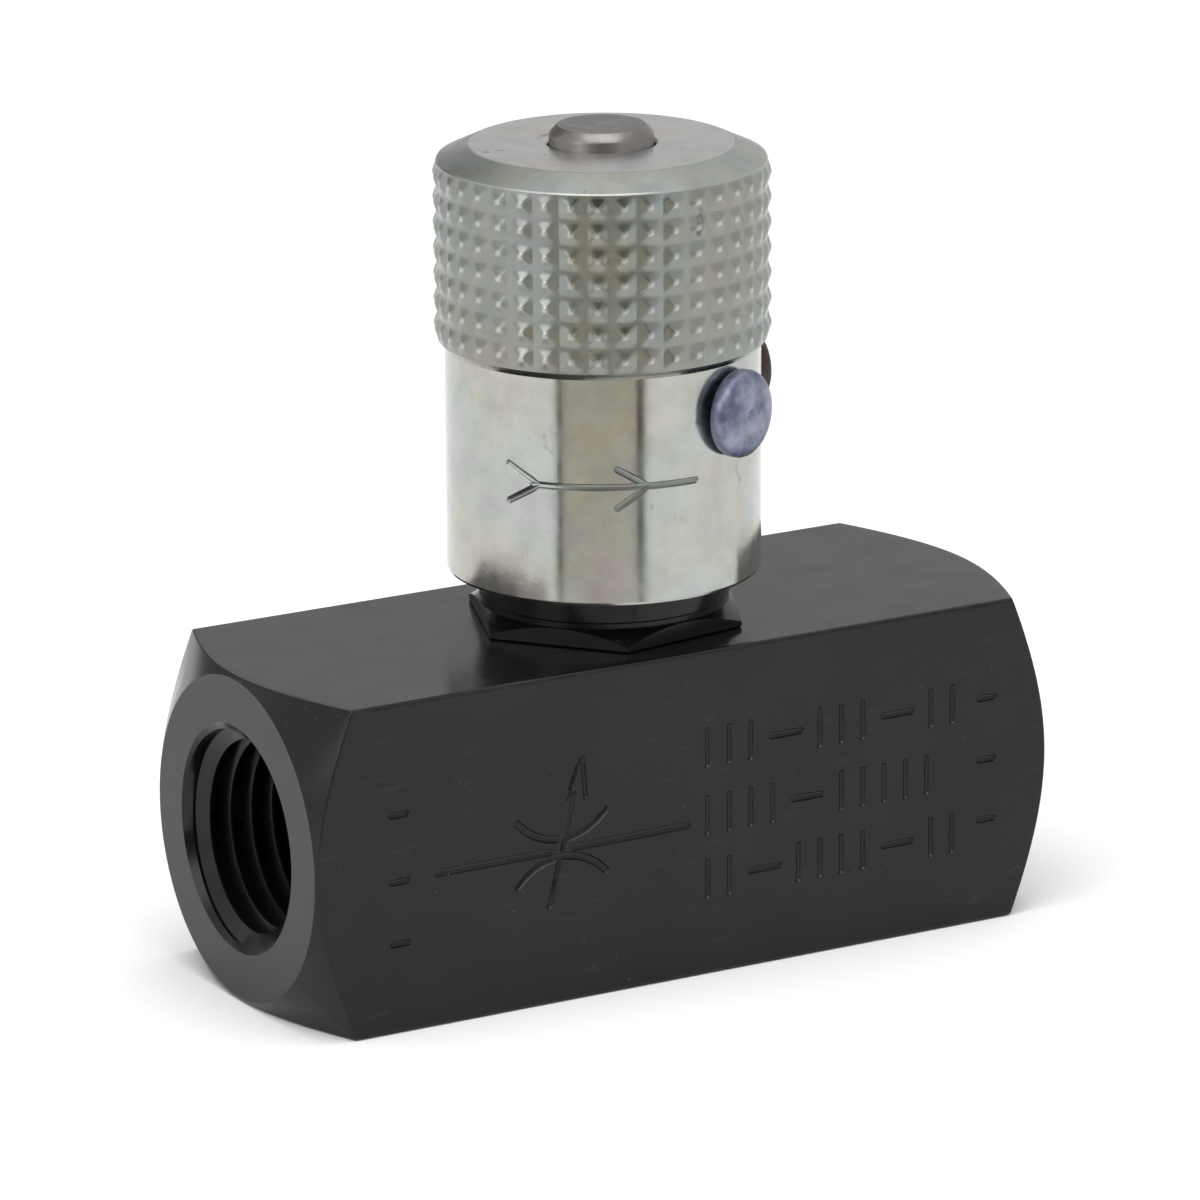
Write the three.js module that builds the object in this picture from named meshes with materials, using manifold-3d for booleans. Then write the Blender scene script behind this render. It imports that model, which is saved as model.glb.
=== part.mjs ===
// In-line hydraulic flow control valve: a square steel body with a tapped port in each end, a
// needle set by a knurled knob on top, and a spring-loaded check poppet that lets oil return freely.
//
// Frame: millimetres, +X along the body from port A to port B, +Z up the stem, origin at the centre
// of the body's bottom face, straight below the stem. The needle is shut, and both lock screws are in.

import * as THREE from "three";
import { mergeVertices } from "three/addons/utils/BufferGeometryUtils.js";
import Module from "manifold-3d";

const wasm = await Module();
wasm.setup();

// ---------- Driving dimensions ----------

const BAR = 20.64; // across flats of the 13/16 in square bar
const BODY_LENGTH = 51.7;
const PORT_Z = BAR / 2; // height of the port axis
const HALF = BODY_LENGTH / 2;
const END_FACE_R = 10.1; // the flat turned on each end
const END_CHAMFER = THREE.MathUtils.degToRad(30); // of the cone behind it, from the end plane

const GAP = 0.1; // between pieces that screw or press together
const THREAD_LEAD = 1.058; // of the stem, 24 threads an inch
const FULL_TURNS = 6;
const LIFT = THREAD_LEAD * FULL_TURNS;

const PORT = { mouthR: 7.15, mouthDepth: 0.9, threadR: 6.3, endR: 5.9, depth: 12.2 };
const WAY_R = 3.4; // the drilled way from port A
const CHECK_SEAT = { x: 2.6, r: 2.5 };
const CHECK_BORE_R = 4.6;
const RETAINER = { x: 10.9, thick: 1.2, r: 5.1, seatR: 5.3, guideR: 1.6 };
const CLIP = { x: 12.2, thick: 0.7, grooveR: 6.1, outerR: 5.95, innerR: 4.7 };

const SEAT = { z: 14.25, height: 1.0, r: 3.0, orificeR: 1.6 };
const CHAMBER_R = 4.2;
const SPIGOT = { r: 5.4, bottom: 17.0, floor: 16.1 };
const BONNET_SEAL = { meanR: 6.25, wireR: 0.43, recessR: 7.1, recessDepth: 0.95 };

const HEX = { acrossFlats: 15.6, height: 1.2, cornerHeight: 0.35, cornerAngle: -51 };
const NECK_R = 7.74;
const NECK_TOP = 31.4;
const UPPER_NECK_R = 6.6;
const BONNET_TOP = 43.6;
const GLAND_R = 4.4; // smooth bore that the stem's seal runs in
const STEM_THREAD_HOLE_R = 3.95;

const LAND_R = 4.25;
const LAND_TOP = 26.6;
const GLAND_TOP = LAND_TOP + LIFT + 0.25; // the land meets it just past full lift
const STEM_THREAD_R = 3.75;
const SHANK_R = 3.2;
const SHOULDER_Z = 44.0; // where the knob sits on the stem
const STEM_TOP = 51.55;
const SEAL_GROOVE = { bottom: 22.6, top: 25.2, floorR: 3.0 };

const SKIRT = { r: 9.68, bottom: 23.85, boreR: 8.05, boreTop: 32.6 };
const KNURL = { r: 10.34, bottom: 38.42, top: 49.45 };
const KNOB_TOP = { z: 50.45, r: 8.1 };
const KNOB_CEILING = 44.1;
const UPPER_BORE_R = 6.95;

const SCREW = { z: 34.95, shankR: 1.5, headR: 2.7, headStart: 9.8, headEnd: 11.2, tip: 7.7 };
const SCREW_ANGLES = { front: -66, rear: 4 }; // about the stem, from +X, in degrees
const PAD = { r: 1.25, start: 6.72, end: 7.6 };

// ---------- Materials ----------

const steel = (color, roughness) => new THREE.MeshStandardMaterial({ color, roughness, metalness: 0.9 });
const moulded = (color) => new THREE.MeshStandardMaterial({ color, roughness: 0.7, metalness: 0 });

const MATERIAL = {
  blackOxide: steel(0x33332f, 0.5),
  zinc: steel(0xc4c6c0, 0.3),
  stainless: steel(0x8b8681, 0.4),
  bluedSteel: steel(0x6b6f8c, 0.4),
  brownedSteel: steel(0x49352f, 0.45),
  springSteel: steel(0x9a9a98, 0.3),
  nitrile: moulded(0x151515),
  ptfe: moulded(0xe6e2d8),
  nylon: moulded(0xd9d2bd),
};

// ---------- Solids ----------

const asSolid = (geometry) => {
  const bare = geometry.clone();
  bare.deleteAttribute("normal");
  bare.deleteAttribute("uv");
  const merged = mergeVertices(bare, 1e-4);
  return new wasm.Manifold(
    new wasm.Mesh({
      numProp: 3,
      vertProperties: merged.attributes.position.array,
      triVerts: new Uint32Array(merged.index.array),
    }),
  );
};

const asGeometry = (solid) => {
  const mesh = solid.getMesh();
  const geometry = new THREE.BufferGeometry();
  geometry.setAttribute("position", new THREE.BufferAttribute(mesh.vertProperties.slice(), 3));
  geometry.setIndex(new THREE.BufferAttribute(mesh.triVerts.slice(), 1));
  return geometry;
};

const cut = (solid, ...tools) => tools.reduce((left, tool) => left.subtract(tool), solid);

// A solid turned about Z from [radius, height] points that run counterclockwise round the section.
const turned = (points, segments = 32) => {
  const section = points.map(([r, z]) => new THREE.Vector2(r, z));
  if (points[0][0] > 0) section.push(section[0].clone());
  return asSolid(new THREE.LatheGeometry(section, segments).rotateX(Math.PI / 2));
};

// The same section turned about X instead, at the height of the ports.
const turnedOnPortAxis = (points, segments = 32) =>
  turned(points, segments).rotate([0, 90, 0]).translate([0, 0, PORT_Z]);

const rod = (r, from, to, segments) => turned([[0, from], [r, from], [r, to], [0, to]], segments);

const portRod = (r, from, to, segments) =>
  turnedOnPortAxis([[0, from], [r, from], [r, to], [0, to]], segments);

const ring = (meanR, wireR, z, segments = 32, sides = 8) =>
  asSolid(new THREE.TorusGeometry(meanR, wireR, sides, segments)).translate([0, 0, z]);

const mirroredInX = (solid) => solid.mirror([1, 0, 0]);

// ---------- Body ----------

function portHole() {
  const { mouthR, mouthDepth, threadR, endR, depth } = PORT;
  const mouth = HALF - mouthDepth;
  const proud = HALF + 1;
  return turnedOnPortAxis([
    [0, HALF - depth - 2.2], // drill point
    [endR - 1.2, HALF - depth],
    [endR, HALF - depth],
    [threadR, mouth],
    [mouthR, HALF],
    [mouthR, proud],
    [0, proud],
  ]);
}

function valveBody() {
  const cornerR = BAR; // beyond the bar's corners
  const slope = (cornerR - END_FACE_R) * Math.tan(END_CHAMFER);
  const ends = turnedOnPortAxis(
    [
      [0, -HALF],
      [END_FACE_R, -HALF],
      [cornerR, slope - HALF],
      [cornerR, HALF - slope],
      [END_FACE_R, HALF],
      [0, HALF],
    ],
    96,
  );
  const bar = asSolid(new THREE.BoxGeometry(BODY_LENGTH + 2, BAR, BAR)).translate([0, 0, PORT_Z]);
  const insideA = HALF - PORT.depth + 0.5;
  const recessFloor = BAR - BONNET_SEAL.recessDepth;
  const bypass = rod(1.2, -1, 16, 24).rotate([0, 107, 0]).translate([0.5, 0, SPIGOT.floor - 0.1]);
  return cut(
    bar.intersect(ends),
    portHole(),
    mirroredInX(portHole()),
    portRod(WAY_R, -insideA, 0.6),
    portRod(CHECK_SEAT.r, 0, CHECK_SEAT.x + 1),
    portRod(CHECK_BORE_R, CHECK_SEAT.x, RETAINER.x + 1),
    portRod(RETAINER.seatR, RETAINER.x, HALF - PORT.depth + 1),
    portRod(CLIP.grooveR, CLIP.x, CLIP.x + CLIP.thick + GAP),
    rod(2.0, PORT_Z + 2, SEAT.z),
    rod(SEAT.r + GAP, SEAT.z - 0.05, SEAT.z + SEAT.height + 0.1),
    rod(CHAMBER_R, SEAT.z + SEAT.height, SPIGOT.floor + 0.1),
    rod(SPIGOT.r + GAP, SPIGOT.floor, BAR + 1),
    rod(BONNET_SEAL.recessR, recessFloor, BAR + 1),
    bypass,
  );
}

const needleSeat = () =>
  turned([
    [SEAT.orificeR, SEAT.z],
    [SEAT.r, SEAT.z],
    [SEAT.r, SEAT.z + SEAT.height],
    [SEAT.orificeR + 0.2, SEAT.z + SEAT.height],
    [SEAT.orificeR, SEAT.z + SEAT.height - 0.2],
  ]);

// ---------- Bonnet: the neck that the knob runs on ----------

function bonnet() {
  const hexR = HEX.acrossFlats / Math.sqrt(3);
  const hexTop = BAR + HEX.height;
  const hexagon = asSolid(new THREE.CylinderGeometry(hexR, hexR, HEX.height, 6).rotateX(Math.PI / 2))
    .rotate([0, 0, HEX.cornerAngle - 30])
    .translate([0, 0, BAR + HEX.height / 2]);
  const topChamfer = turned([
    [0, BAR - 1],
    [hexR, BAR - 1],
    [hexR, BAR + HEX.cornerHeight],
    [NECK_R, hexTop],
    [0, hexTop],
  ]);
  const neck = turned(
    [
      [0, BAR + 0.2],
      [NECK_R, BAR + 0.2],
      [NECK_R, NECK_TOP - 0.4],
      [NECK_R - 0.4, NECK_TOP],
      [UPPER_NECK_R, NECK_TOP],
      [UPPER_NECK_R, BONNET_TOP - 0.5],
      [UPPER_NECK_R - 0.5, BONNET_TOP],
      [0, BONNET_TOP],
    ],
    64,
  );
  const spigot = rod(SPIGOT.r, SPIGOT.bottom, BAR + 0.5);
  return cut(
    hexagon.intersect(topChamfer).add(neck).add(spigot),
    rod(GLAND_R, SPIGOT.bottom - 1, GLAND_TOP),
    rod(STEM_THREAD_HOLE_R, GLAND_TOP - 1, BONNET_TOP + 1),
  );
}

const bonnetSeal = () =>
  ring(BONNET_SEAL.meanR, BONNET_SEAL.wireR, BAR - BONNET_SEAL.wireR - 0.05);

// ---------- Stem and its seal ----------

const needleStem = () =>
  turned([
    [0, 12.4],
    [0.5, 12.4],
    [1.1, 13.8], // fine metering cone
    [1.5, 14.6], // second, steeper step
    [1.5, SEAT.z + SEAT.height + 0.1],
    [2.9, 16.6],
    [2.9, 20.2],
    [LAND_R, 20.6],
    [LAND_R, SEAL_GROOVE.bottom],
    [SEAL_GROOVE.floorR, SEAL_GROOVE.bottom],
    [SEAL_GROOVE.floorR, SEAL_GROOVE.top],
    [LAND_R, SEAL_GROOVE.top],
    [LAND_R, LAND_TOP],
    [STEM_THREAD_R, LAND_TOP + 0.4],
    [STEM_THREAD_R, SHOULDER_Z],
    [SHANK_R, SHOULDER_Z],
    [SHANK_R, STEM_TOP - 0.45],
    [2.75, STEM_TOP],
    [0, STEM_TOP],
  ]);

const stemSeal = () => ring(3.68, 0.6, SEAL_GROOVE.bottom + 0.8);

const backupRing = () =>
  turned([
    [3.1, SEAL_GROOVE.top - 0.85],
    [GLAND_R - 0.07, SEAL_GROOVE.top - 0.85],
    [GLAND_R - 0.07, SEAL_GROOVE.top - 0.1],
    [3.1, SEAL_GROOVE.top - 0.1],
  ]);

// ---------- Knob ----------

function knob() {
  const shell = turned(
    [
      [0, SKIRT.bottom],
      [SKIRT.r - 0.2, SKIRT.bottom],
      [SKIRT.r, SKIRT.bottom + 0.2],
      [SKIRT.r, KNURL.bottom - 0.45],
      [KNURL.r, KNURL.bottom],
      [KNURL.r, KNURL.top],
      [KNOB_TOP.r, KNOB_TOP.z],
      [0, KNOB_TOP.z],
    ],
    80,
  );
  const screwHole = rod(SCREW.shankR + GAP, UPPER_BORE_R - 1, SKIRT.r + 1, 24);
  return cut(
    shell,
    rod(SKIRT.boreR, SKIRT.bottom - 1, SKIRT.boreTop, 64),
    rod(UPPER_BORE_R, SKIRT.boreTop - 1, KNOB_CEILING, 64),
    rod(SHANK_R + GAP, KNOB_CEILING - 1, KNOB_TOP.z + 1),
    ...Object.values(SCREW_ANGLES).map((angle) => onRadius(screwHole, angle)),
  );
}

// Turns a piece made along Z so that it points out from the stem, at the lock screws' height.
const onRadius = (solid, angle) => solid.rotate([0, 90, 0]).rotate([0, 0, angle]).translate([0, 0, SCREW.z]);

function lockScrew(angle) {
  const { shankR, headR, headStart, headEnd, tip } = SCREW;
  const made = turned(
    [
      [0, tip],
      [shankR - 0.3, tip],
      [shankR, tip + 0.3],
      [shankR, headStart],
      [headR - 0.1, headStart],
      [headR, headStart + 0.15],
      [headR, headEnd - 0.7],
      [headR - 0.35, headEnd - 0.2],
      [headR - 1.0, headEnd],
      [0, headEnd],
    ],
    32,
  );
  return onRadius(made, angle);
}

const lockPad = (angle) => onRadius(rod(PAD.r, PAD.start, PAD.end, 24), angle);

// ---------- Check valve, in port B ----------

const POPPET = { nose: CHECK_SEAT.x - 0.7, guideStart: 3.65, guideEnd: 5.4, guideR: 4.4, tailR: 1.3 };
const SEAT_SEAL = { x: 3.12, meanR: 3.05, wireR: 0.45 };

function checkPoppet() {
  const { nose, guideStart, guideEnd, guideR, tailR } = POPPET;
  const body = turnedOnPortAxis([
    [0, nose],
    [1.5, nose],
    [2.35, CHECK_SEAT.x],
    [2.5, CHECK_SEAT.x + 0.2],
    [2.5, guideStart],
    [guideR, guideStart],
    [guideR, guideEnd],
    [tailR, guideEnd],
    [tailR, RETAINER.x + 0.4],
    [0, RETAINER.x + 0.4],
  ]);
  const flute = asSolid(new THREE.BoxGeometry(guideEnd - guideStart + 2, 8, 2)).translate([
    (guideStart + guideEnd) / 2,
    0,
    3.4 + 1,
  ]);
  const flutes = [30, 150, 270].map((angle) => flute.rotate([angle, 0, 0]).translate([0, 0, PORT_Z]));
  return cut(body, ...flutes);
}

const poppetSeal = () =>
  asSolid(new THREE.TorusGeometry(SEAT_SEAL.meanR, SEAT_SEAL.wireR, 8, 32))
    .rotate([0, 90, 0])
    .translate([SEAT_SEAL.x, 0, PORT_Z]);

class CoilCurve extends THREE.Curve {
  constructor(radius, length, turns) {
    super();
    Object.assign(this, { radius, length, turns });
  }
  getPoint(t) {
    const angle = 2 * Math.PI * this.turns * t;
    return new THREE.Vector3(
      this.length * t,
      this.radius * Math.cos(angle),
      this.radius * Math.sin(angle),
    );
  }
}

function checkSpring() {
  const wireR = 0.3;
  const turns = 4;
  const start = POPPET.guideEnd + wireR + 0.1;
  const end = RETAINER.x - wireR - 0.1;
  const section = new THREE.Shape().absarc(0, 0, wireR, 0, 2 * Math.PI);
  const coil = new THREE.ExtrudeGeometry(section, {
    steps: turns * 12,
    curveSegments: 3,
    extrudePath: new CoilCurve(2.4, end - start, turns),
  });
  return asSolid(coil).translate([start, 0, PORT_Z]);
}

function springRetainer() {
  const { x, thick, r, guideR } = RETAINER;
  const plate = portRod(r, x + GAP, x + thick);
  const guide = portRod(guideR, x - 1, x + thick + 1, 24);
  const hole = portRod(1.0, x - 1, x + thick + 1, 20);
  const holes = [0, 60, 120, 180, 240, 300].map((angle) => {
    const turn = THREE.MathUtils.degToRad(angle);
    return hole.translate([0, 3.3 * Math.cos(turn), 3.3 * Math.sin(turn)]);
  });
  return cut(plate, guide, ...holes);
}

function retainingRing() {
  const { x, thick, outerR, innerR } = CLIP;
  const hoop = turnedOnPortAxis([
    [innerR, x + GAP],
    [outerR, x + GAP],
    [outerR, x + thick],
    [innerR, x + thick],
  ]);
  const split = asSolid(new THREE.BoxGeometry(3, 2.4, 4)).translate([x, 0, PORT_Z - outerR]);
  return cut(hoop, split);
}

// ---------- Assembly ----------

const valve = new THREE.Group();
const addPiece = (name, solid, material) => {
  const mesh = new THREE.Mesh(asGeometry(solid), material);
  mesh.name = name;
  valve.add(mesh);
};

addPiece("valve_body", valveBody(), MATERIAL.blackOxide);
addPiece("needle_seat", needleSeat(), MATERIAL.stainless);
addPiece("bonnet", bonnet(), MATERIAL.blackOxide);
addPiece("bonnet_seal", bonnetSeal(), MATERIAL.nitrile);
addPiece("needle_stem", needleStem(), MATERIAL.stainless);
addPiece("stem_seal", stemSeal(), MATERIAL.nitrile);
addPiece("backup_ring", backupRing(), MATERIAL.ptfe);
addPiece("knob", knob(), MATERIAL.zinc);
addPiece("lock_screw_front", lockScrew(SCREW_ANGLES.front), MATERIAL.bluedSteel);
addPiece("lock_screw_rear", lockScrew(SCREW_ANGLES.rear), MATERIAL.brownedSteel);
addPiece("lock_pad_front", lockPad(SCREW_ANGLES.front), MATERIAL.nylon);
addPiece("lock_pad_rear", lockPad(SCREW_ANGLES.rear), MATERIAL.nylon);
addPiece("check_poppet", checkPoppet(), MATERIAL.stainless);
addPiece("poppet_seal", poppetSeal(), MATERIAL.nitrile);
addPiece("check_spring", checkSpring(), MATERIAL.springSteel);
addPiece("spring_retainer", springRetainer(), MATERIAL.blackOxide);
addPiece("retaining_ring", retainingRing(), MATERIAL.springSteel);

export default valve;
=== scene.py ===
"""Looks of an in-line flow control valve: black square body, zinc-plated knurled knob, stainless stem."""

import math

import bmesh
import bpy
import numpy as np
from mathutils import Matrix, Vector


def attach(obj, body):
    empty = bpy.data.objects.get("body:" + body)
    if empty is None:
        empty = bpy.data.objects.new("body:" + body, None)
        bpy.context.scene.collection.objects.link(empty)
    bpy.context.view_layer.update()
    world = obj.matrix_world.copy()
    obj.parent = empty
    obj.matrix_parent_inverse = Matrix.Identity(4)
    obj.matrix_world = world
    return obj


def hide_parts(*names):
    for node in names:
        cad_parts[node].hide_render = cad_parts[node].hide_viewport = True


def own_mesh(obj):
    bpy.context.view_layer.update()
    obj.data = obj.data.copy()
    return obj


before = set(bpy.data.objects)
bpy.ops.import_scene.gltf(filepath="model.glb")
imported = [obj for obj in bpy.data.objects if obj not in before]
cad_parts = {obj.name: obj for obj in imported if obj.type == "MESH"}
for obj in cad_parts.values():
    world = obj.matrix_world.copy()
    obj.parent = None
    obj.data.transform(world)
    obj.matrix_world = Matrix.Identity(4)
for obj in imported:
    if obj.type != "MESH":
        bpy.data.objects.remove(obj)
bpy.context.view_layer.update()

MM = 0.001
TAU = 2 * math.pi

# ---------- Dimensions, in millimetres: the CAD model's own ----------

BAR = 20.64
FLAT = BAR / 2
PORT_Z = FLAT
HALF = 51.7 / 2
END_FACE_R = 10.1
END_SLOPE = math.tan(math.radians(30))
MOUTH_R = 7.15
PORT_DEPTH = 12.2
PIPE_PITCH = 25.4 / 18
STEM_PITCH = 1.058
HEX_CORNER_ANGLE = -51
NECK_R = 7.74
SKIRT_R = 9.68
SKIRT_BOTTOM = 23.85
KNURL_R = 10.34
KNURL_BOTTOM = 38.42
KNURL_TOP = 49.45
KNOB_TOP = 50.45
KNOB_CEILING = 44.1
SKIRT_BORE_R = 8.05
SKIRT_BORE_TOP = 32.6
UPPER_BORE_R = 6.95
STEM_TOP = 51.55
LAND_R = 4.25
SHANK_R = 3.2
SCREW_Z = 34.95
FRONT_ANGLE = -66
REAR_ANGLE = 4
CHECK_BORE_R = 4.6
CHECK_SEAT_X = 2.6
CHECK_SEAT_R = 2.5
WAY_R = 3.4
RETAINER_X = 10.9


# ---------- Mesh helpers: all take millimetres ----------


def new_object(name, vertices, faces, sharp_angle=30):
    """A closed mesh with its duplicate points welded and its faces pointing out."""
    mesh = bpy.data.meshes.new(name)
    mesh.from_pydata([Vector(v) * MM for v in vertices], [], faces)
    made = bmesh.new()
    made.from_mesh(mesh)
    bmesh.ops.remove_doubles(made, verts=made.verts, dist=1e-7)
    bmesh.ops.recalc_face_normals(made, faces=made.faces)
    made.to_mesh(mesh)
    made.free()
    obj = bpy.data.objects.new(name, mesh)
    bpy.context.scene.collection.objects.link(obj)
    shade(obj, sharp_angle)
    return obj


def shade(obj, sharp_angle=30):
    mesh = obj.data
    mesh.polygons.foreach_set("use_smooth", [True] * len(mesh.polygons))
    mesh.set_sharp_from_angle(angle=math.radians(sharp_angle))


def skin(name, rows, closed_rows, sharp_angle=30):
    """Faces between rows of points. Every row has as many points, and its last point meets its first."""
    rows = np.array(rows, float)
    count, width, _ = rows.shape
    faces = []
    for i in range(count if closed_rows else count - 1):
        here = i * width
        above = ((i + 1) % count) * width
        for j in range(width - 1):
            faces.append((here + j, here + j + 1, above + j + 1, above + j))
    return new_object(name, rows.reshape(-1, 3), faces, sharp_angle)


def circle(columns):
    return np.linspace(0, TAU, columns + 1)


def ring_row(r, z, angles):
    r = np.broadcast_to(r, angles.shape)
    z = np.broadcast_to(z, angles.shape)
    return np.stack([r * np.cos(angles), r * np.sin(angles), z], axis=1)


def lathe(name, profile, columns=96, sharp_angle=30):
    """A section turned about Z. It ends on the axis, or closes on itself."""
    angles = circle(columns)
    rows = [ring_row(r, z, angles) for r, z in profile]
    return skin(name, rows, profile[0][0] > 0, sharp_angle)


def torus(name, mean_r, wire_r, z, columns=96, sides=20):
    turn = [TAU * k / sides for k in range(sides)]
    profile = [(mean_r + wire_r * math.cos(a), z + wire_r * math.sin(a)) for a in turn]
    return lathe(name, profile, columns, 60)


def move(obj, matrix):
    obj.data.transform(matrix)
    return obj


def onto_port_axis(obj):
    """Turns a piece made about Z so that Z becomes the port axis, +X."""
    to_x = Matrix(((0, 0, 1, 0), (1, 0, 0, 0), (0, 1, 0, PORT_Z * MM), (0, 0, 0, 1)))
    return move(obj, to_x)


def onto_radius(obj, angle):
    """Turns a piece made about Z so that it points out from the stem at the lock screws' height."""
    tilt = Matrix.Rotation(math.radians(90), 4, "Y")
    turn = Matrix.Rotation(math.radians(angle), 4, "Z")
    return move(obj, Matrix.Translation((0, 0, SCREW_Z * MM)) @ turn @ tilt)


def boolean(obj, tool, operation="DIFFERENCE"):
    """obj with tool cut off, added or kept in common; tool is used up."""
    step = obj.modifiers.new("cut", "BOOLEAN")
    step.operation = operation
    step.solver = "MANIFOLD"
    step.object = tool
    bpy.context.view_layer.update()
    shaped = obj.evaluated_get(bpy.context.evaluated_depsgraph_get())
    mesh = bpy.data.meshes.new_from_object(shaped)
    if not len(mesh.polygons):
        raise RuntimeError(f"cutting {obj.name} with {tool.name} left nothing")
    obj.modifiers.clear()
    obj.data = mesh
    bpy.data.objects.remove(tool)
    return obj


def stroke(name, points, outward, radius, sides=10):
    """A round-ended rod along points. outward(point) is the surface's normal there."""
    path = [Vector(p) for p in points]
    rows = []

    def add(centre, along, r):
        normal = outward(centre).normalized()
        across = along.cross(normal).normalized()
        turn = [TAU * k / sides for k in range(sides + 1)]
        rows.append([centre + r * (math.cos(a) * normal + math.sin(a) * across) for a in turn])

    first = (path[1] - path[0]).normalized()
    last = (path[-1] - path[-2]).normalized()
    for k in range(4):
        a = math.pi / 2 * (1 - k / 4)
        add(path[0] - first * radius * math.sin(a), first, radius * math.cos(a))
    for k in range(1, len(path) - 1):
        add(path[k], (path[k + 1] - path[k - 1]).normalized(), radius)
    for k in range(4):
        a = math.pi / 2 * (k + 1) / 4
        add(path[-1] + last * radius * math.sin(a), last, radius * math.cos(a))
    return skin(name, rows, False)


def joined(name, objects):
    """One object of several that don't touch."""
    made = bmesh.new()
    for o in objects:
        made.from_mesh(o.data)
        bpy.data.objects.remove(o)
    mesh = bpy.data.meshes.new(name)
    made.to_mesh(mesh)
    made.free()
    obj = bpy.data.objects.new(name, mesh)
    bpy.context.scene.collection.objects.link(obj)
    return obj


# ---------- Materials ----------


def shader(name):
    material = bpy.data.materials.new(name)
    material.use_nodes = True
    tree = material.node_tree
    return material, tree, tree.nodes["Principled BSDF"]


def node(tree, kind, **values):
    made = tree.nodes.new(kind)
    for key, value in values.items():
        if hasattr(made, key):
            setattr(made, key, value)
        else:
            made.inputs[key.replace("_", " ")].default_value = value
    return made


def noise(tree, scale, detail=4.0, stretch=(1, 1, 1), roughness=0.5):
    """Object-space noise, in features per millimetre along each axis."""
    place = node(tree, "ShaderNodeTexCoord")
    size = node(tree, "ShaderNodeMapping")
    size.inputs["Scale"].default_value = [scale * s / MM for s in stretch]
    made = node(tree, "ShaderNodeTexNoise", Scale=1.0, Detail=detail, Roughness=roughness)
    tree.links.new(place.outputs["Object"], size.inputs["Vector"])
    tree.links.new(size.outputs["Vector"], made.inputs["Vector"])
    return made.outputs["Fac"]


def ramp(tree, source, stops, interpolation="LINEAR"):
    """Colours or greys along source. stops are (position, value) pairs."""
    made = node(tree, "ShaderNodeValToRGB")
    made.color_ramp.interpolation = interpolation
    elements = made.color_ramp.elements
    while len(elements) < len(stops):
        elements.new(0.5)
    for element, (position, value) in zip(elements, stops):
        element.position = position
        colour = value if isinstance(value, tuple) else (value, value, value)
        element.color = (*colour, 1)
    tree.links.new(source, made.inputs["Fac"])
    return made.outputs["Color"]


def mixed(tree, factor, a, b, blend="MIX"):
    """Mixes two colours, each a socket or a fixed colour."""
    made = node(tree, "ShaderNodeMix", data_type="RGBA", blend_type=blend)
    sockets = [s for s in made.inputs if s.enabled]
    for socket, value in zip(sockets, (factor, a, b)):
        if isinstance(value, bpy.types.NodeSocket):
            tree.links.new(value, socket)
        elif isinstance(value, tuple):
            socket.default_value = (*value, 1)
        else:
            socket.default_value = value
    return [s for s in made.outputs if s.enabled][0]


def bump(tree, bsdf, height, distance, strength=1.0):
    made = node(tree, "ShaderNodeBump", Strength=strength, Distance=distance * MM)
    tree.links.new(height, made.inputs["Height"])
    tree.links.new(made.outputs["Normal"], bsdf.inputs["Normal"])


def black_oxide(name, base=0.003, rough=(0.15, 0.26)):
    material, tree, bsdf = shader(name)
    bsdf.inputs["Metallic"].default_value = 0.0
    bsdf.inputs["IOR"].default_value = 1.37
    blotches = noise(tree, 0.12, 5)
    lighter = (base * 2.2, base * 2.1, base * 1.9)
    dark = ramp(tree, blotches, [(0.35, (base, base, base * 0.95)), (0.7, lighter)])
    scuffs = ramp(tree, noise(tree, 1.6, 5, (0.3, 1, 1), 0.65), [(0.0, 0.0), (0.60, 0.0), (0.75, 1.0)])
    scuffed = mixed(tree, scuffs, dark, (0.016, 0.016, 0.014))
    specks = ramp(tree, noise(tree, 2.6, 3, roughness=0.8), [(0.0, 0.0), (0.70, 0.0), (0.75, 1.0)])
    colour = mixed(tree, specks, scuffed, (0.09, 0.09, 0.085))
    tree.links.new(colour, bsdf.inputs["Base Color"])
    gloss = ramp(tree, noise(tree, 0.35, 6), [(0.3, rough[0]), (0.7, rough[1])])
    tree.links.new(gloss, bsdf.inputs["Roughness"])
    bump(tree, bsdf, noise(tree, 2.0, 4, (0.25, 1, 1)), 0.0025)
    return material


def plated(name, colour, rough=(0.2, 0.32), anisotropic=0.0):
    """Zinc with the faint pink, blue and yellow of its clear passivate, and a few dull spots."""
    material, tree, bsdf = shader(name)
    bsdf.inputs["Metallic"].default_value = 1.0
    bsdf.inputs["Anisotropic"].default_value = anisotropic
    hue = ramp(
        tree,
        noise(tree, 0.16, 3),
        [
            (0.36, (0.98, 0.94, 1.0)),
            (0.46, (0.95, 1.0, 1.0)),
            (0.55, (1.0, 0.99, 0.93)),
            (0.66, (1.03, 0.97, 0.93)),
        ],
    )
    tinted = mixed(tree, 1.0, colour, hue, "MULTIPLY")
    stains = ramp(tree, noise(tree, 0.5, 6, roughness=0.65), [(0.3, 0.84), (0.6, 1.0)])
    spots = ramp(tree, noise(tree, 0.42, 3, (1, 1, 0.6), 0.6), [(0.0, 0.5), (0.27, 0.5), (0.33, 1.0)])
    stained = mixed(tree, 1.0, tinted, stains, "MULTIPLY")
    # Painted highlight: where the knob's knurl points are marked, the colour is mixed towards a light zinc.
    point_highlight = node(tree, "ShaderNodeAttribute", attribute_name="point_highlight")
    spotted = mixed(tree, 1.0, stained, spots, "MULTIPLY")
    tree.links.new(mixed(tree, point_highlight.outputs["Fac"], spotted, (0.72, 0.73, 0.69)), bsdf.inputs["Base Color"])
    gloss = ramp(tree, noise(tree, 0.6, 5), [(0.3, rough[0]), (0.7, rough[1])])
    tree.links.new(gloss, bsdf.inputs["Roughness"])
    bump(tree, bsdf, noise(tree, 1.2, 5), 0.006)
    return material


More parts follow.
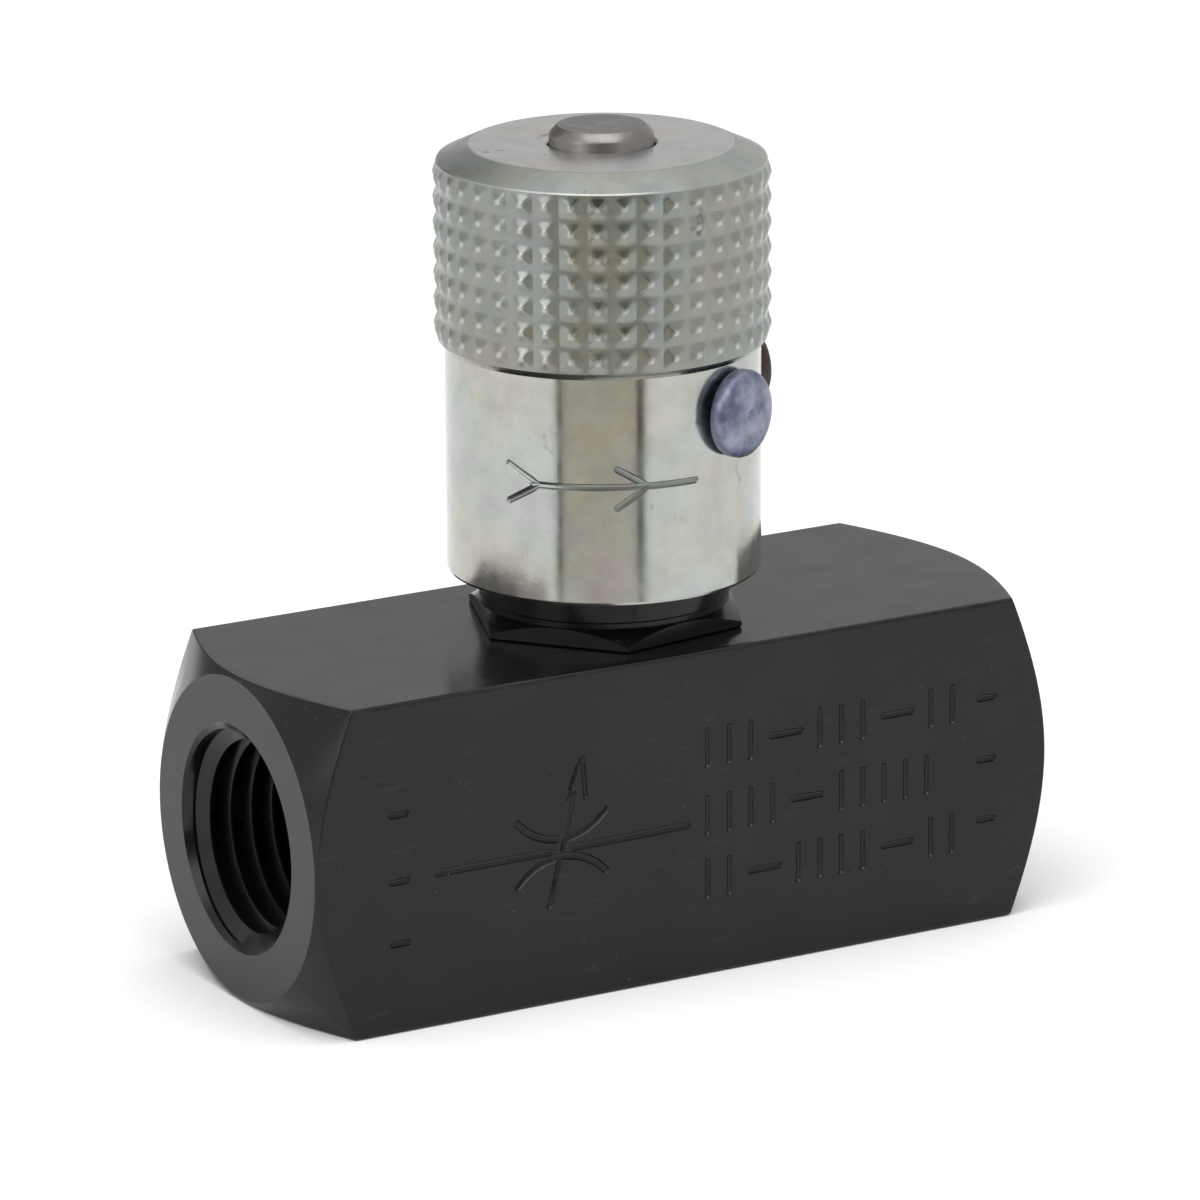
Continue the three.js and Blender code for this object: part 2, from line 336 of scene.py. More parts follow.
def turned_steel(name, colour, rough, tint=None, spread=0.35, mottle=0.5, metallic=1.0, relief=0.004):
    """Bare or heat-coloured steel; tint is what the mottling drifts to."""
    material, tree, bsdf = shader(name)
    bsdf.inputs["Metallic"].default_value = metallic
    other = tint or tuple(c * 0.7 for c in colour)
    mottling = noise(tree, mottle, 5, roughness=0.6)
    patches = ramp(tree, mottling, [(0.5 - spread / 2, colour), (0.5 + spread / 2, other)])
    tree.links.new(patches, bsdf.inputs["Base Color"])
    gloss = ramp(tree, noise(tree, 1.5, 4), [(0.3, rough - 0.06), (0.7, rough + 0.06)])
    tree.links.new(gloss, bsdf.inputs["Roughness"])
    bump(tree, bsdf, noise(tree, 3, 4), relief)
    return material


def moulded(name, colour, rough):
    material, tree, bsdf = shader(name)
    shades = ramp(tree, noise(tree, 0.8, 4), [(0.35, tuple(c * 0.8 for c in colour)), (0.65, colour)])
    tree.links.new(shades, bsdf.inputs["Base Color"])
    bsdf.inputs["Roughness"].default_value = rough
    bump(tree, bsdf, noise(tree, 4, 3), 0.003)
    return material


SCALE_BANDS = [
    (24.15, (0.55, 0.03, 0.02)),
    (25.21, (0.03, 0.10, 0.45)),
    (26.27, (0.70, 0.50, 0.02)),
    (27.32, (0.02, 0.25, 0.06)),
    (28.38, (0.75, 0.75, 0.72)),
    (29.44, (0.75, 0.22, 0.02)),
]
BAND_HEIGHT = 0.86


def scale_material(base):
    """The black neck with one painted band for each turn of the knob."""
    material = base.copy()
    material.name = "neck_scale"
    tree = material.node_tree
    bsdf = tree.nodes["Principled BSDF"]
    place = node(tree, "ShaderNodeTexCoord")
    axes = node(tree, "ShaderNodeSeparateXYZ")
    tree.links.new(place.outputs["Object"], axes.inputs["Vector"])
    colour = bsdf.inputs["Base Color"].links[0].from_socket
    for start, paint in SCALE_BANDS:
        centre = (start + BAND_HEIGHT / 2) * MM
        here = node(tree, "ShaderNodeMath", operation="COMPARE")
        here.inputs[1].default_value = centre
        here.inputs[2].default_value = BAND_HEIGHT / 2 * MM
        tree.links.new(axes.outputs["Z"], here.inputs[0])
        colour = mixed(tree, here.outputs[0], colour, paint)
    tree.links.new(colour, bsdf.inputs["Base Color"])
    return material


OXIDE = black_oxide("black_oxide")
NECK = scale_material(OXIDE)
ZINC_TURNED = plated("zinc_turned", (0.44, 0.445, 0.42), (0.13, 0.2), 0.0)
# A darker copy of the zinc: painted shade on the knurl's faces and in the skirt arrow's grooves.
ZINC_PAINTED_SHADE = plated("zinc_painted_shade", (0.27, 0.28, 0.262), (0.24, 0.34))
ZINC_BEVEL = plated("zinc_bevel", (0.40, 0.415, 0.39), (0.25, 0.35))
# A lighter copy of the zinc: painted light on the knob's top face.
ZINC_PAINTED_LIGHT = plated("zinc_painted_light", (0.60, 0.59, 0.585), (0.25, 0.35))
STAINLESS = turned_steel("stainless", (0.25, 0.235, 0.225), 0.38)
BLUED = turned_steel("blued_steel", (0.10, 0.11, 0.18), 0.42, (0.27, 0.29, 0.37), 0.26, 0.6, 0.7)
BROWNED = turned_steel("browned_steel", (0.022, 0.012, 0.011), 0.45, (0.055, 0.035, 0.032), 0.3, 0.4, 0.4)
SPRING_STEEL = turned_steel("spring_steel", (0.5, 0.5, 0.5), 0.28)
NITRILE = moulded("nitrile", (0.018, 0.018, 0.019), 0.5)
PTFE = moulded("ptfe", (0.83, 0.81, 0.75), 0.4)
NYLON = moulded("nylon", (0.75, 0.70, 0.55), 0.5)


def finish_piece(obj, node_name, material, body):
    obj.data.materials.clear()
    obj.data.materials.append(material)
    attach(obj, body)
    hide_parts(node_name)
    return obj


# ---------- Body ----------

CORNER_ROUND = 0.22
EDGE_ROUND = 0.1
MOUTH_SLOPE = 1.3
THREAD_PHASE = 0.15


def bar_radius(angle):
    """Distance from the port axis to the square bar's surface, its long edges slightly rounded."""
    from_flat = (angle + math.pi / 4) % (math.pi / 2) - math.pi / 4
    reach = FLAT / math.cos(from_flat)
    side = FLAT - CORNER_ROUND
    if FLAT * abs(math.tan(from_flat)) <= side:
        return reach
    off_corner = math.pi / 4 - abs(from_flat)
    along = side * math.sqrt(2) * math.cos(off_corner)
    return along + math.sqrt(along**2 - 2 * side**2 + CORNER_ROUND**2)


def body_angles():
    uniform = np.linspace(0, TAU, 145)
    corners = [math.pi / 4 + k * math.pi / 2 for k in range(4)]
    extra = [c + math.radians(d) for c in corners for d in (-1.3, -0.9, -0.6, -0.3, 0.3, 0.6, 0.9, 1.3)]
    return np.array(sorted([*uniform, *extra]))


def outer_rows(angles, side):
    """Rows from the turned end face, round the end's edge, onto the flats. side is -1 for port A."""
    reach = np.array([bar_radius(a) for a in angles])
    rise = (reach - END_FACE_R) * END_SLOPE
    slant = np.hypot(reach - END_FACE_R, rise)
    cut = np.minimum(EDGE_ROUND, slant * 0.4)
    along_r = cut * math.cos(math.radians(30))
    along_x = cut * math.sin(math.radians(30))
    rows = [(np.full_like(angles, HALF), np.full_like(angles, END_FACE_R))]
    corner_x = HALF - rise
    start = (corner_x + along_x, reach - along_r)
    end = (corner_x - cut, reach)
    for t in (0.0, 0.25, 0.5, 0.75, 1.0):
        x = (1 - t) ** 2 * start[0] + 2 * t * (1 - t) * corner_x + t**2 * end[0]
        r = (1 - t) ** 2 * start[1] + 2 * t * (1 - t) * reach + t**2 * end[1]
        rows.append((x, r))
    rows.append((corner_x - cut - 0.5, reach))
    rows = [(x * side, r) for x, r in rows]
    return rows if side < 0 else rows[::-1]


def port_thread_rows(angles, side):
    """Rows of a right-handed tapered thread, from high x to low x."""
    low, high = (HALF - PORT_DEPTH + 0.8, HALF) if side > 0 else (-HALF, -HALF + PORT_DEPTH - 0.8)
    lift = PIPE_PITCH * angles / TAU
    first = math.ceil(high / PIPE_PITCH) + 1
    last = math.floor(low / PIPE_PITCH) - 2
    rows = []
    for turn in range(first, last - 1, -1):
        for phase, crest in ((0.93, 0), (0.56, 1), (0.44, 1), (0.07, 0)):
            x = np.clip((turn + phase + THREAD_PHASE) * PIPE_PITCH + lift, low, high)
            depth = HALF - np.abs(x)
            wall = (5.95 if crest else 6.78) - depth / 32
            r = np.maximum(wall, MOUTH_R - depth * MOUTH_SLOPE)
            r = np.where(depth > PORT_DEPTH - 0.8 - 1e-9, 6.1, r)
            r = np.where(depth < 1e-9, MOUTH_R, r)
            rows.append((x, r))
    return rows


def valve_body():
    angles = body_angles()
    rows = outer_rows(angles, -1)
    rows += [(np.full_like(angles, x), np.array([bar_radius(a) for a in angles])) for x in (-8.0, 8.0)]
    rows += outer_rows(angles, 1)
    rows += [(np.full_like(angles, HALF), np.full_like(angles, MOUTH_R))]
    rows += port_thread_rows(angles, 1)
    inside = [
        (HALF - PORT_DEPTH + 0.8, 5.9),
        (12.95, 5.9),
        (12.95, 6.1),
        (12.2, 6.1),
        (12.2, 5.3),
        (RETAINER_X, 5.3),
        (RETAINER_X, CHECK_BORE_R),
        (CHECK_SEAT_X, CHECK_BORE_R),
        (CHECK_SEAT_X, CHECK_SEAT_R),
        (0.6, CHECK_SEAT_R),
        (0.6, WAY_R),
        (-13.0, WAY_R),
        (-13.45, 4.7),
        (-13.45, 5.9),
        (-HALF + PORT_DEPTH - 0.8, 5.9),
    ]
    rows += [(np.full_like(angles, x), np.full_like(angles, r)) for x, r in inside]
    rows += port_thread_rows(angles, -1)
    rows += [(np.full_like(angles, -HALF), np.full_like(angles, MOUTH_R))]
    points = [ring_row(r, x, angles) for x, r in rows]
    body = onto_port_axis(skin("body_visual", points, True, 28))
    pocket = lathe(
        "pocket",
        [
            (0, 12.2),
            (2.0, 12.2),
            (2.0, 14.2),
            (3.1, 14.2),
            (3.1, 15.3),
            (4.2, 15.3),
            (4.2, 16.1),
            (5.5, 16.1),
            (5.5, BAR - 0.95),
            (7.1, BAR - 0.95),
            (7.1, BAR + 1),
            (0, BAR + 1),
        ],
        64,
    )
    boolean(body, pocket)
    for cutter in stamped_marks():
        boolean(body, cutter)
    shade(body, 28)
    return body


MARK_R = 0.34
MARK_SUNK = 0.17
TICK_R = 0.28
TICK_ROWS = ((14.5, "|||-|||-||"), (10.2, "||||-|||||"), (6.1, "||-||||-||"))


def front_stroke(name, points, radius=MARK_R):
    """A groove along (x, z) points of the front face."""
    y = -(FLAT + radius - MARK_SUNK)
    return stroke(name, [(x, y, z) for x, z in points], lambda p: Vector((0, -1, 0)), radius)


def arc(centre, radius, start, end, steps=10):
    turns = np.radians(np.linspace(start, end, steps))
    return [(centre[0] + radius * math.cos(a), centre[1] + radius * math.sin(a)) for a in turns]


def stamped_marks():
    """The hydraulic symbol of an adjustable throttle, and rows of plain ticks where ratings go."""
    symbol = [
        front_stroke("line_left", [(-17.6, 9.6), (-13.0, 9.62), (-9.9, 9.64)]),
        front_stroke("line_right", [(-8.1, 9.68), (-4.0, 9.7), (-0.2, 9.75)]),
    ]
    arcs = [
        front_stroke("arc_low", arc((-9.0, 5.2), 4.05, 140, 42), 0.3),
        front_stroke("arc_high", arc((-9.0, 14.4), 4.05, -140, -42), 0.3),
    ]
    arrow = [
        front_stroke("shaft", [(-9.9, 6.3), (-8.9, 10.3), (-8.2, 13.0)], 0.28),
        front_stroke("head_right", [(-7.55, 15.2), (-7.45, 14.0), (-7.35, 12.8)], 0.22),
    ]
    head = [front_stroke("head_left", [(-7.75, 15.1), (-8.15, 14.0), (-8.55, 12.9)], 0.22)]
    ticks = []
    for row, (height, pattern) in enumerate(TICK_ROWS):
        x = 1.2
        for mark in pattern:
            if mark == "|":
                upright = [(x, height - 1.05), (x, height), (x, height + 1.05)]
                ticks.append(front_stroke(f"tick_{row}", upright, TICK_R))
                x += 1.55
            else:
                level = [(x, height), (x + 1.0, height), (x + 2.0, height)]
                ticks.append(front_stroke(f"dash_{row}", level, TICK_R))
                x += 3.4
    for x, heights in ((-20.2, (13.7, 9.5, 5.6)), (21.4, (14.5, 10.5, 6.6))):
        for height in heights:
            short = [(x - 0.5, height), (x, height), (x + 0.5, height)]
            ticks.append(front_stroke("side_mark", short, 0.26))
    groups = (("symbol", symbol + ticks), ("arcs", arcs), ("arrow", arrow), ("head", head))
    return [joined(name, strokes) for name, strokes in groups]


finish_piece(valve_body(), "valve_body", OXIDE, "valve")

# ---------- Bonnet ----------


def bonnet():
    hex_r = 15.6 / math.sqrt(3)
    turn = [math.radians(HEX_CORNER_ANGLE + 60 * k) for k in range(7)]
    corner = [(math.cos(a) * hex_r, math.sin(a) * hex_r) for a in turn]
    rows = []
    for scale, z in ((0, BAR + 0.02), (0.99, BAR + 0.02), (1, BAR + 0.1), (1, BAR + 1.2), (0, BAR + 1.2)):
        rows.append([(x * scale, y * scale, z) for x, y in corner])
    hexagon = skin("bonnet_visual", rows, False)
    chamfer = lathe(
        "chamfer",
        [
            (0, BAR - 1),
            (hex_r + 0.3, BAR - 1),
            (hex_r + 0.3, BAR + 0.17),
            (NECK_R, BAR + 1.19),
            (0, BAR + 1.19),
        ],
        128,
    )
    boolean(hexagon, chamfer, "INTERSECT")
    neck = lathe(
        "neck",
        [
            (0, 17.0),
            (5.4, 17.0),
            (5.4, BAR + 0.5),
            (NECK_R - 0.12, BAR + 0.5),
            (NECK_R - 0.12, BAR + 1.5),
            (NECK_R, BAR + 1.62),
            (NECK_R, 31.0),
            (NECK_R - 0.4, 31.4),
            (6.6, 31.4),
            (6.6, 43.1),
            (6.1, 43.6),
            (0, 43.6),
        ],
        128,
    )
    boolean(hexagon, neck, "UNION")
    bore = lathe("bore", [(0, 16), (4.4, 16), (4.4, 33.2), (3.95, 33.2), (3.95, 44.6), (0, 44.6)], 96)
    boolean(hexagon, bore)
    shade(hexagon, 28)
    return hexagon


finish_piece(bonnet(), "bonnet", NECK, "valve")

# ---------- Stem ----------


def threaded_rows(angles, low, high, crest, root, pitch):
    """Rows of a right-handed outside thread, from low z to high z."""
    lift = pitch * angles / TAU
    rows = []
    for turn in range(math.floor(low / pitch) - 2, math.ceil(high / pitch) + 1):
        for phase, r in ((0.06, root), (0.44, crest), (0.56, crest), (0.94, root)):
            z = (turn + phase) * pitch + lift
            inside = np.clip(z, low, high)
            rows.append((np.where(z == inside, r, root), inside))
    return rows


def needle_stem():
    angles = circle(72)
    below = [
        (0, 12.4),
        (0.5, 12.4),
        (1.1, 13.8),
        (1.5, 14.6),
        (1.5, 15.35),
        (2.9, 16.6),
        (2.9, 20.2),
        (LAND_R, 20.6),
        (LAND_R, 22.6),
        (3.0, 22.6),
        (3.0, 25.2),
        (LAND_R, 25.2),
        (LAND_R, 26.6),
        (SHANK_R, 27.2),
    ]
    above = [
        (SHANK_R, 44.0),
        (SHANK_R, STEM_TOP - 0.6),
        (3.13, STEM_TOP - 0.43),
        (2.8, STEM_TOP - 0.08),
        (2.68, STEM_TOP),
        (0, STEM_TOP),
    ]
    rows = [ring_row(r, z, angles) for r, z in below]
    rows += [ring_row(r, z, angles) for r, z in threaded_rows(angles, 27.2, 43.9, 3.75, SHANK_R, STEM_PITCH)]
    rows += [ring_row(r, z, angles) for r, z in above]
    return skin("stem_visual", rows, False, 28)


finish_piece(needle_stem(), "needle_stem", STAINLESS, "knob_and_stem")

# ---------- Knob ----------

KNURL_COLUMNS = 40
KNURL_ROWS = 7
KNURL_DEPTH = 0.24
CELL = (0.0, 0.05, 0.2, 0.34, 0.44, 0.5, 0.56, 0.66, 0.8, 0.95)
# Strength of the painted highlight on the knurl's points.
POINT_HIGHLIGHT = 0.4


def pyramid(t):
    """Height of a knurl's face across one cell, with a narrow flat in the groove and a rounded point."""
    rise = max(0.0, 2 * min(t, 1 - t) - 0.1) / 0.9
    return min(rise, 0.9 + 0.1 * math.sin(math.pi / 2 * max(0.0, rise - 0.75) / 0.25))


def knob():
    angles = [(c + t) * TAU / KNURL_COLUMNS for c in range(KNURL_COLUMNS) for t in CELL]
    across = [pyramid(t) for _ in range(KNURL_COLUMNS) for t in CELL]
    angles = np.array([*angles, TAU])
    across = np.array([*across, pyramid(0)])
    outside = [
        (SKIRT_BORE_R, SKIRT_BOTTOM),
        (SKIRT_R - 0.22, SKIRT_BOTTOM),
        (SKIRT_R - 0.07, SKIRT_BOTTOM + 0.06),
        (SKIRT_R, SKIRT_BOTTOM + 0.22),
        (SKIRT_R, KNURL_BOTTOM - 0.45),
        (KNURL_R - 0.42, KNURL_BOTTOM - 0.22),
    ]
    rows = [ring_row(r, z, angles) for r, z in outside]
    step = (KNURL_TOP - KNURL_BOTTOM) / KNURL_ROWS
    for row in range(KNURL_ROWS):
        for t in CELL:
            rise = np.minimum(across, pyramid(t))
            r = KNURL_R - KNURL_DEPTH * (1 - rise)
            rows.append(ring_row(r, KNURL_BOTTOM + (row + t) * step, angles))
    inside = [
        (KNURL_R - KNURL_DEPTH, KNURL_TOP),
        (KNURL_R - 0.3, KNURL_TOP + 0.1),
        (8.25, KNOB_TOP - 0.07),
        (8.1, KNOB_TOP - 0.02),
        (7.9, KNOB_TOP),
        (3.45, KNOB_TOP),
        (3.3, KNOB_TOP - 0.15),
        (3.3, KNOB_CEILING),
        (UPPER_BORE_R, KNOB_CEILING),
        (UPPER_BORE_R, SKIRT_BORE_TOP),
        (SKIRT_BORE_R, SKIRT_BORE_TOP),
    ]
    rows += [ring_row(r, z, angles) for r, z in inside]
    made = skin("knob_visual", rows, True, 22)
    for angle in (FRONT_ANGLE, REAR_ANGLE):
        boolean(made, onto_radius(lathe("hole", [(0, 5.5), (1.6, 5.5), (1.6, 10.6), (0, 10.6)], 48), angle))
    for cutter in skirt_arrow():
        boolean(made, cutter)
    shade(made, 22)
    paint_point_highlights(made)
    return made


def paint_point_highlights(made):
    """Marks the knurl's points for a painted highlight that makes them lighter than its faces."""
    places = np.array([v.co for v in made.data.vertices]) / MM
    reach = np.hypot(places[:, 0], places[:, 1])
    knurled = (places[:, 2] > KNURL_BOTTOM) & (places[:, 2] < KNURL_TOP)
    points = knurled & (reach > KNURL_R - 0.04)
    point_highlight = made.data.attributes.new("point_highlight", "FLOAT", "POINT")
    point_highlight.data.foreach_set("value", points.astype(np.float32) * POINT_HIGHLIGHT)


def skirt_stroke(name, points, radius=0.24):
    """A groove along (angle in degrees, z) points of the skirt."""
    sunk = SKIRT_R + radius - 0.17
    path = []
    for (a0, z0), (a1, z1) in zip(points, points[1:]):
        steps = max(2, int(abs(a1 - a0) / 3))
        for k in range(steps):
            path.append((a0 + (a1 - a0) * k / steps, z0 + (z1 - z0) * k / steps))
    path.append(points[-1])
    turned = [(sunk * math.cos(math.radians(a)), sunk * math.sin(math.radians(a)), z) for a, z in path]
    return stroke(name, turned, lambda p: Vector((p.x, p.y, 0)), radius)


def skirt_arrow():
    z = 31.3
    return [
        skirt_stroke("shaft", [(-146, z), (-85, z)]),
        skirt_stroke("tail", [(-156, z + 1.1), (-143.4, z), (-156, z - 1.2)]),
        skirt_stroke("tip", [(-115, z + 1.1), (-103.4, z), (-115, z - 1.3)]),
    ]


knob_piece = finish_piece(knob(), "knob", ZINC_TURNED, "knob_and_stem")
knob_piece.data.materials.append(ZINC_PAINTED_SHADE)
knob_piece.data.materials.append(ZINC_PAINTED_LIGHT)
knob_piece.data.materials.append(ZINC_BEVEL)
for face in knob_piece.data.polygons:
    # The top face gets the lighter zinc, which is painted light.
    if face.center.z > KNURL_TOP * MM:
        face.material_index = 2 if face.normal.z > 0.95 or face.center.xy.length < 7 * MM else 3
    # The knurl gets the darker zinc, which is painted shade.
    elif face.center.z > (KNURL_BOTTOM - 0.3) * MM:
        face.material_index = 1
    # Faces in the skirt arrow's grooves get the darker zinc: painted shade in the grooves.
    elif 27 * MM < face.center.z < 34 * MM and 0.02 < SKIRT_R - face.center.xy.length / MM < 0.3:
        face.material_index = 1

# ---------- Lock screws and pads ----------


def screw_head_profile():
    """Domed head with a small centre dimple, on a plain shank."""
    return [
        (0, 7.7),
        (1.2, 7.7),
        (1.5, 8.0),
        (1.5, 9.8),
        (2.45, 9.8),
        (2.62, 9.88),
        (2.7, 10.05),
        (2.7, 10.5),
        (2.62, 10.72),
        (2.42, 10.92),
        (2.05, 11.06),
        (1.5, 11.14),
        (0.9, 11.17),
        (0.42, 11.17),
        (0.3, 11.08),
        (0.18, 10.98),
        (0, 10.95),
    ]


for side, angle, material, slot in (
    ("front", FRONT_ANGLE, BLUED, "blued_steel"),
    ("rear", REAR_ANGLE, BROWNED, "browned_steel"),
):
    head = onto_radius(lathe(f"screw_{side}_visual", screw_head_profile(), 72, 40), angle)
    finish_piece(head, f"lock_screw_{side}", material, f"{side}_screw")
    pad_profile = [(0, 6.72), (1.15, 6.72), (1.25, 6.82), (1.25, 7.5), (1.15, 7.6), (0, 7.6)]
    pad = onto_radius(lathe(f"pad_{side}_visual", pad_profile, 48), angle)
    finish_piece(pad, f"lock_pad_{side}", NYLON, f"{side}_pad")

# ---------- Seals, seat and check valve ----------

finish_piece(torus("bonnet_seal_visual", 6.25, 0.43, BAR - 0.48), "bonnet_seal", NITRILE, "valve")
finish_piece(torus("stem_seal_visual", 3.68, 0.6, 23.4), "stem_seal", NITRILE, "stem_seals")
backup = lathe("backup_visual", [(3.1, 24.35), (4.33, 24.35), (4.33, 25.1), (3.1, 25.1)])
finish_piece(backup, "backup_ring", PTFE, "stem_seals")
seat = lathe("seat_visual", [(1.6, 14.25), (3.0, 14.25), (3.0, 15.25), (1.8, 15.25), (1.6, 15.05)])
finish_piece(seat, "needle_seat", STAINLESS, "valve")


def check_poppet():
    made = lathe(
        "poppet_visual",
        [
            (0, 1.9),
            (1.5, 1.9),
            (2.35, 2.6),
            (2.5, 2.8),
            (2.5, 3.65),
            (4.3, 3.65),
            (4.4, 3.75),
            (4.4, 5.3),
            (4.3, 5.4),
            (1.3, 5.4),
            (1.3, 11.2),
            (1.2, 11.3),
            (0, 11.3),
        ],
        96,
    )
    onto_port_axis(made)
    for angle in (30, 150, 270):
        cube = [(x, y, z) for x in (2.65, 6.4) for y in (-4, 4) for z in (3.4, 5.4)]
        sides = [(0, 1, 3, 2), (4, 6, 7, 5), (0, 4, 5, 1), (2, 3, 7, 6), (0, 2, 6, 4), (1, 5, 7, 3)]
        flute = new_object("flute", cube, sides)
        turn = Matrix.Rotation(math.radians(angle), 4, "X")
        boolean(made, move(flute, Matrix.Translation((0, 0, PORT_Z * MM)) @ turn))
    shade(made)
    return made


finish_piece(check_poppet(), "check_poppet", STAINLESS, "poppet")
nose_seal = onto_port_axis(torus("poppet_seal_visual", 3.05, 0.45, 3.12))
finish_piece(nose_seal, "poppet_seal", NITRILE, "poppet")


def check_spring():
    """Four turns of round wire, its ends laid flat."""
    turns, wire, mean = 4, 0.3, 2.4
    start, end = 5.8, 10.5
    steps = turns * 40
    rows = []
    for k in range(steps + 1):
        t = k / steps
        level = t - math.sin(TAU * t) / TAU * 0.35
        turn = TAU * turns * t
        centre = Vector((mean * math.cos(turn), mean * math.sin(turn), start + (end - start) * level))
        outward = Vector((math.cos(turn), math.sin(turn), 0))
        section = [TAU * s / 14 for s in range(15)]
        reach = wire if 0 < k < steps else 0
        along = Vector((0, 0, 1))
        rows.append([centre + reach * (math.cos(a) * outward + math.sin(a) * along) for a in section])
    return onto_port_axis(skin("spring_visual", rows, False, 60))


spring = finish_piece(check_spring(), "check_spring", SPRING_STEEL, "valve")
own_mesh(spring)


def spring_retainer():
    profile = [(1.6, 11.0), (5.0, 11.0), (5.1, 11.1), (5.1, 12.0), (5.0, 12.1), (1.6, 12.1)]
    made = onto_port_axis(lathe("retainer_visual", profile))
    for angle in range(0, 360, 60):
        hole = lathe("hole", [(0, 10), (1.0, 10), (1.0, 13), (0, 13)], 40)
        turn = math.radians(angle)
        move(hole, Matrix.Translation((3.3 * MM * math.cos(turn), 3.3 * MM * math.sin(turn), 0)))
        boolean(made, onto_port_axis(hole))
    shade(made)
    return made


finish_piece(spring_retainer(), "spring_retainer", OXIDE, "valve")


def retaining_ring():
    """A split ring of square-cornered section, open at the bottom."""
    gap = math.radians(12)
    rows = []
    for k in range(97):
        turn = -math.pi / 2 + gap + (TAU - 2 * gap) * k / 96
        section = [(4.7, 12.3), (5.95, 12.3), (5.95, 12.9), (4.7, 12.9), (4.7, 12.3)]
        middle = (5.325, 12.6)
        reach = 0 if k in (0, 96) else 1
        r0, z0 = middle
        points = [(r0 + reach * (r - r0), z0 + reach * (z - z0)) for r, z in section]
        rows.append([(r * math.cos(turn), r * math.sin(turn), z) for r, z in points])
        if k in (0, 95):
            rows.append([(r * math.cos(turn), r * math.sin(turn), z) for r, z in section])
    return onto_port_axis(skin("ring_visual", rows, False))


finish_piece(retaining_ring(), "retaining_ring", SPRING_STEEL, "valve")

# ---------- Floor, light and camera ----------

bpy.ops.mesh.primitive_plane_add(size=4, location=(0, 0, -0.00005))
floor = bpy.context.object
floor.name = "floor"
floor_material, _, floor_bsdf = shader("floor")
floor_bsdf.inputs["Base Color"].default_value = (0.9, 0.9, 0.9, 1)
floor_bsdf.inputs["Roughness"].default_value = 0.9
floor_bsdf.inputs["Specular IOR Level"].default_value = 0.0
floor.data.materials.append(floor_material)


def softbox(name, place, target, size, power):
    light = bpy.data.lights.new(name, "AREA")
    light.shape = "RECTANGLE"
    light.size, light.size_y = size
    light.energy = power
    obj = bpy.data.objects.new(name, light)
    bpy.context.scene.collection.objects.link(obj)
    obj.location = place
    obj.rotation_euler = (Vector(target) - Vector(place)).to_track_quat("-Z", "Y").to_euler()
    return obj


world = bpy.data.worlds.new("studio")
bpy.context.scene.world = world
world.use_nodes = True
world_tree = world.node_tree
background = world_tree.nodes["Background"]
background.inputs["Strength"].default_value = 1.0

TENT = [  # brightness by azimuth, in degrees, of the light tent round the object
    (-180, 0.9),
    (-156, 0.8),
    (-150, 0.1),
    (-94, 0.1),
    (-88, 0.9),
    (20, 0.9),
    (50, 0.66),
    (70, 0.6),
    (78, 0.3),
    (112, 0.3),
    (122, 0.8),
    (180, 0.9),
]
direction = node(world_tree, "ShaderNodeTexCoord")
parts = node(world_tree, "ShaderNodeSeparateXYZ")
bearing = node(world_tree, "ShaderNodeMath", operation="ARCTAN2")
share = node(world_tree, "ShaderNodeMapRange")
share.inputs["From Min"].default_value = -math.pi
share.inputs["From Max"].default_value = math.pi
world_tree.links.new(direction.outputs["Generated"], parts.inputs["Vector"])
world_tree.links.new(parts.outputs["Y"], bearing.inputs[0])
world_tree.links.new(parts.outputs["X"], bearing.inputs[1])
world_tree.links.new(bearing.outputs[0], share.inputs["Value"])
around = ramp(world_tree, share.outputs["Result"], [((a + 180) / 360, v) for a, v in TENT])
height = ramp(world_tree, parts.outputs["Z"], [(0.0, 0.0), (0.6, 0.0), (0.9, 1.0)])
tent = mixed(world_tree, height, around, (1.0, 1.0, 1.0))
world_tree.links.new(tent, background.inputs["Color"])

softbox("top", (-0.15, -0.25, 0.9), (0, 0, 0.02), (0.9, 0.9), 6.0)
softbox("left", (-0.9, -0.2, 0.45), (0, 0, 0.02), (0.6, 0.6), 2.0)


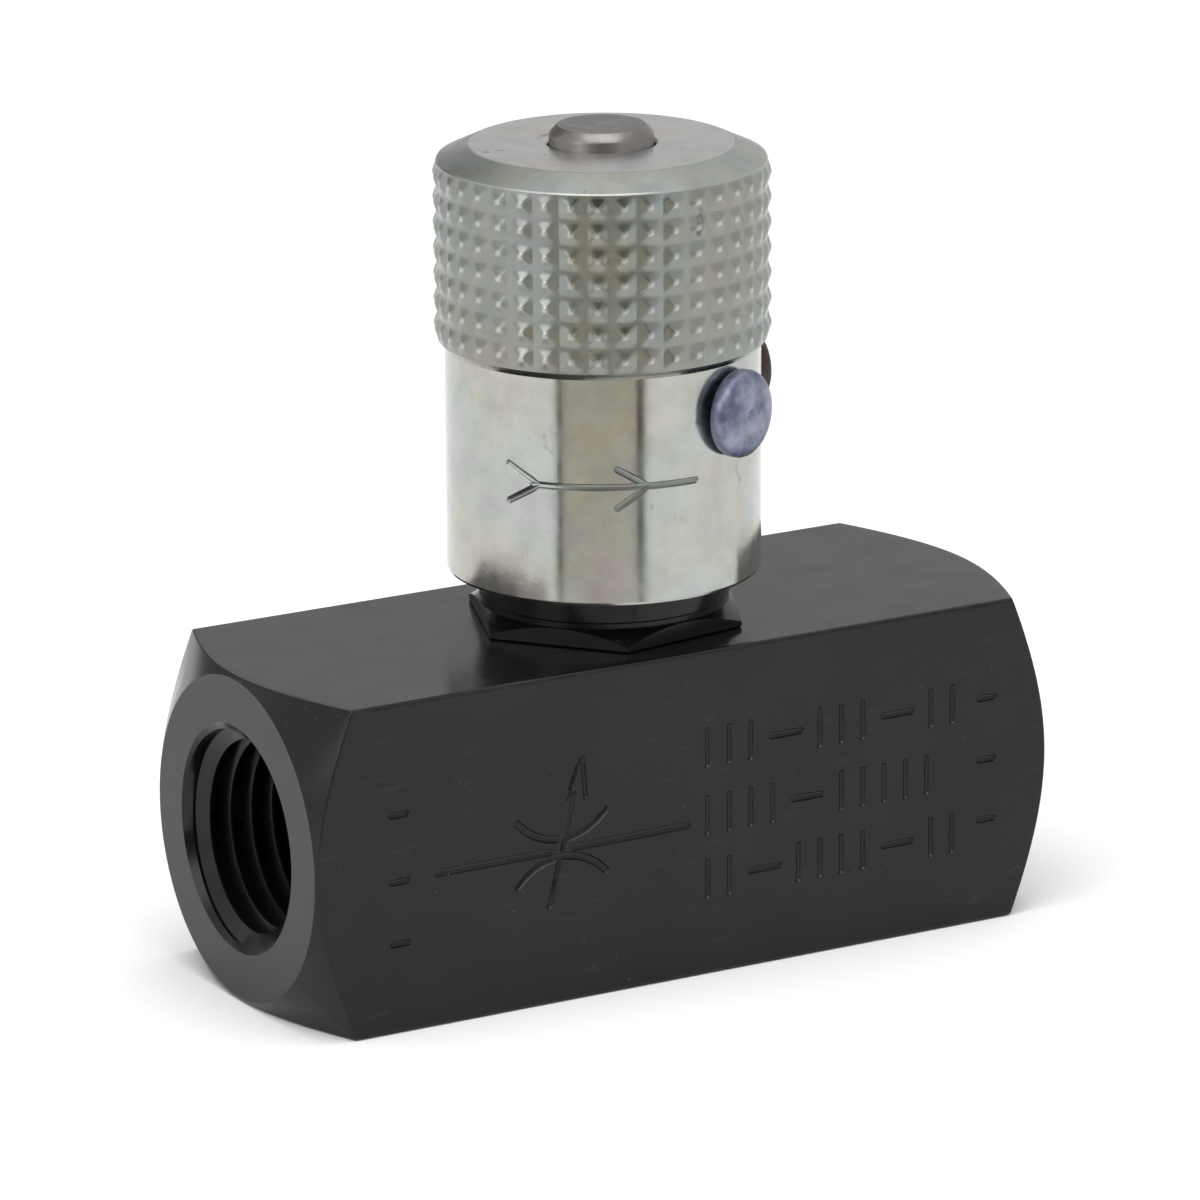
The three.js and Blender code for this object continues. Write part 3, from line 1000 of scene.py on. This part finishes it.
def card(name, start, end, colour, radius=0.085, height=0.06):
    """A standing card that only shows in polished surfaces, between two azimuths in degrees."""
    ends = [(radius * math.cos(math.radians(a)), radius * math.sin(math.radians(a))) for a in (start, end)]
    corners = [(x / MM, y / MM, z / MM) for z in (0, height) for x, y in ends]
    made = new_object(name, corners, [(0, 1, 3, 2)])
    finish, _, bsdf = shader(name)
    bsdf.inputs["Base Color"].default_value = (*colour, 1)
    bsdf.inputs["Roughness"].default_value = 1.0
    bsdf.inputs["Specular IOR Level"].default_value = 0.0
    made.data.materials.append(finish)
    for ray in ("camera", "diffuse", "transmission", "volume_scatter", "shadow"):
        setattr(made, f"visible_{ray}", False)


card("card_left_edge", -152.5, -148, (0.05, 0.05, 0.05))
card("card_warm", -148, -97, (0.84, 0.78, 0.68))
card("card_right_edge", -97, -91.5, (0.03, 0.03, 0.03))

CAMERA_AZIMUTH = math.radians(-29.975)
CAMERA_ELEVATION = math.radians(15.74)
CAMERA_ROLL = math.radians(-0.37)
CAMERA_DISTANCE = 0.508167

back = Vector(
    (
        math.sin(CAMERA_AZIMUTH) * math.cos(CAMERA_ELEVATION),
        -math.cos(CAMERA_AZIMUTH) * math.cos(CAMERA_ELEVATION),
        math.sin(CAMERA_ELEVATION),
    )
)
level = Vector((math.cos(CAMERA_AZIMUTH), math.sin(CAMERA_AZIMUTH), 0))
upward = back.cross(level)
right = math.cos(CAMERA_ROLL) * level + math.sin(CAMERA_ROLL) * upward
up = -math.sin(CAMERA_ROLL) * level + math.cos(CAMERA_ROLL) * upward
camera_data = bpy.data.cameras.new("camera")
camera = bpy.data.objects.new("camera", camera_data)
bpy.context.scene.collection.objects.link(camera)
axes = Matrix((right, up, back)).transposed().to_4x4()
camera.matrix_world = Matrix.Translation(Vector((0, 0, 0.025)) + back * CAMERA_DISTANCE) @ axes
camera_data.lens = 247.755
camera_data.sensor_width = 36
camera_data.shift_x = -0.003394
camera_data.shift_y = -0.045693
bpy.context.scene.camera = camera
bpy.context.scene.view_settings.view_transform = "Standard"
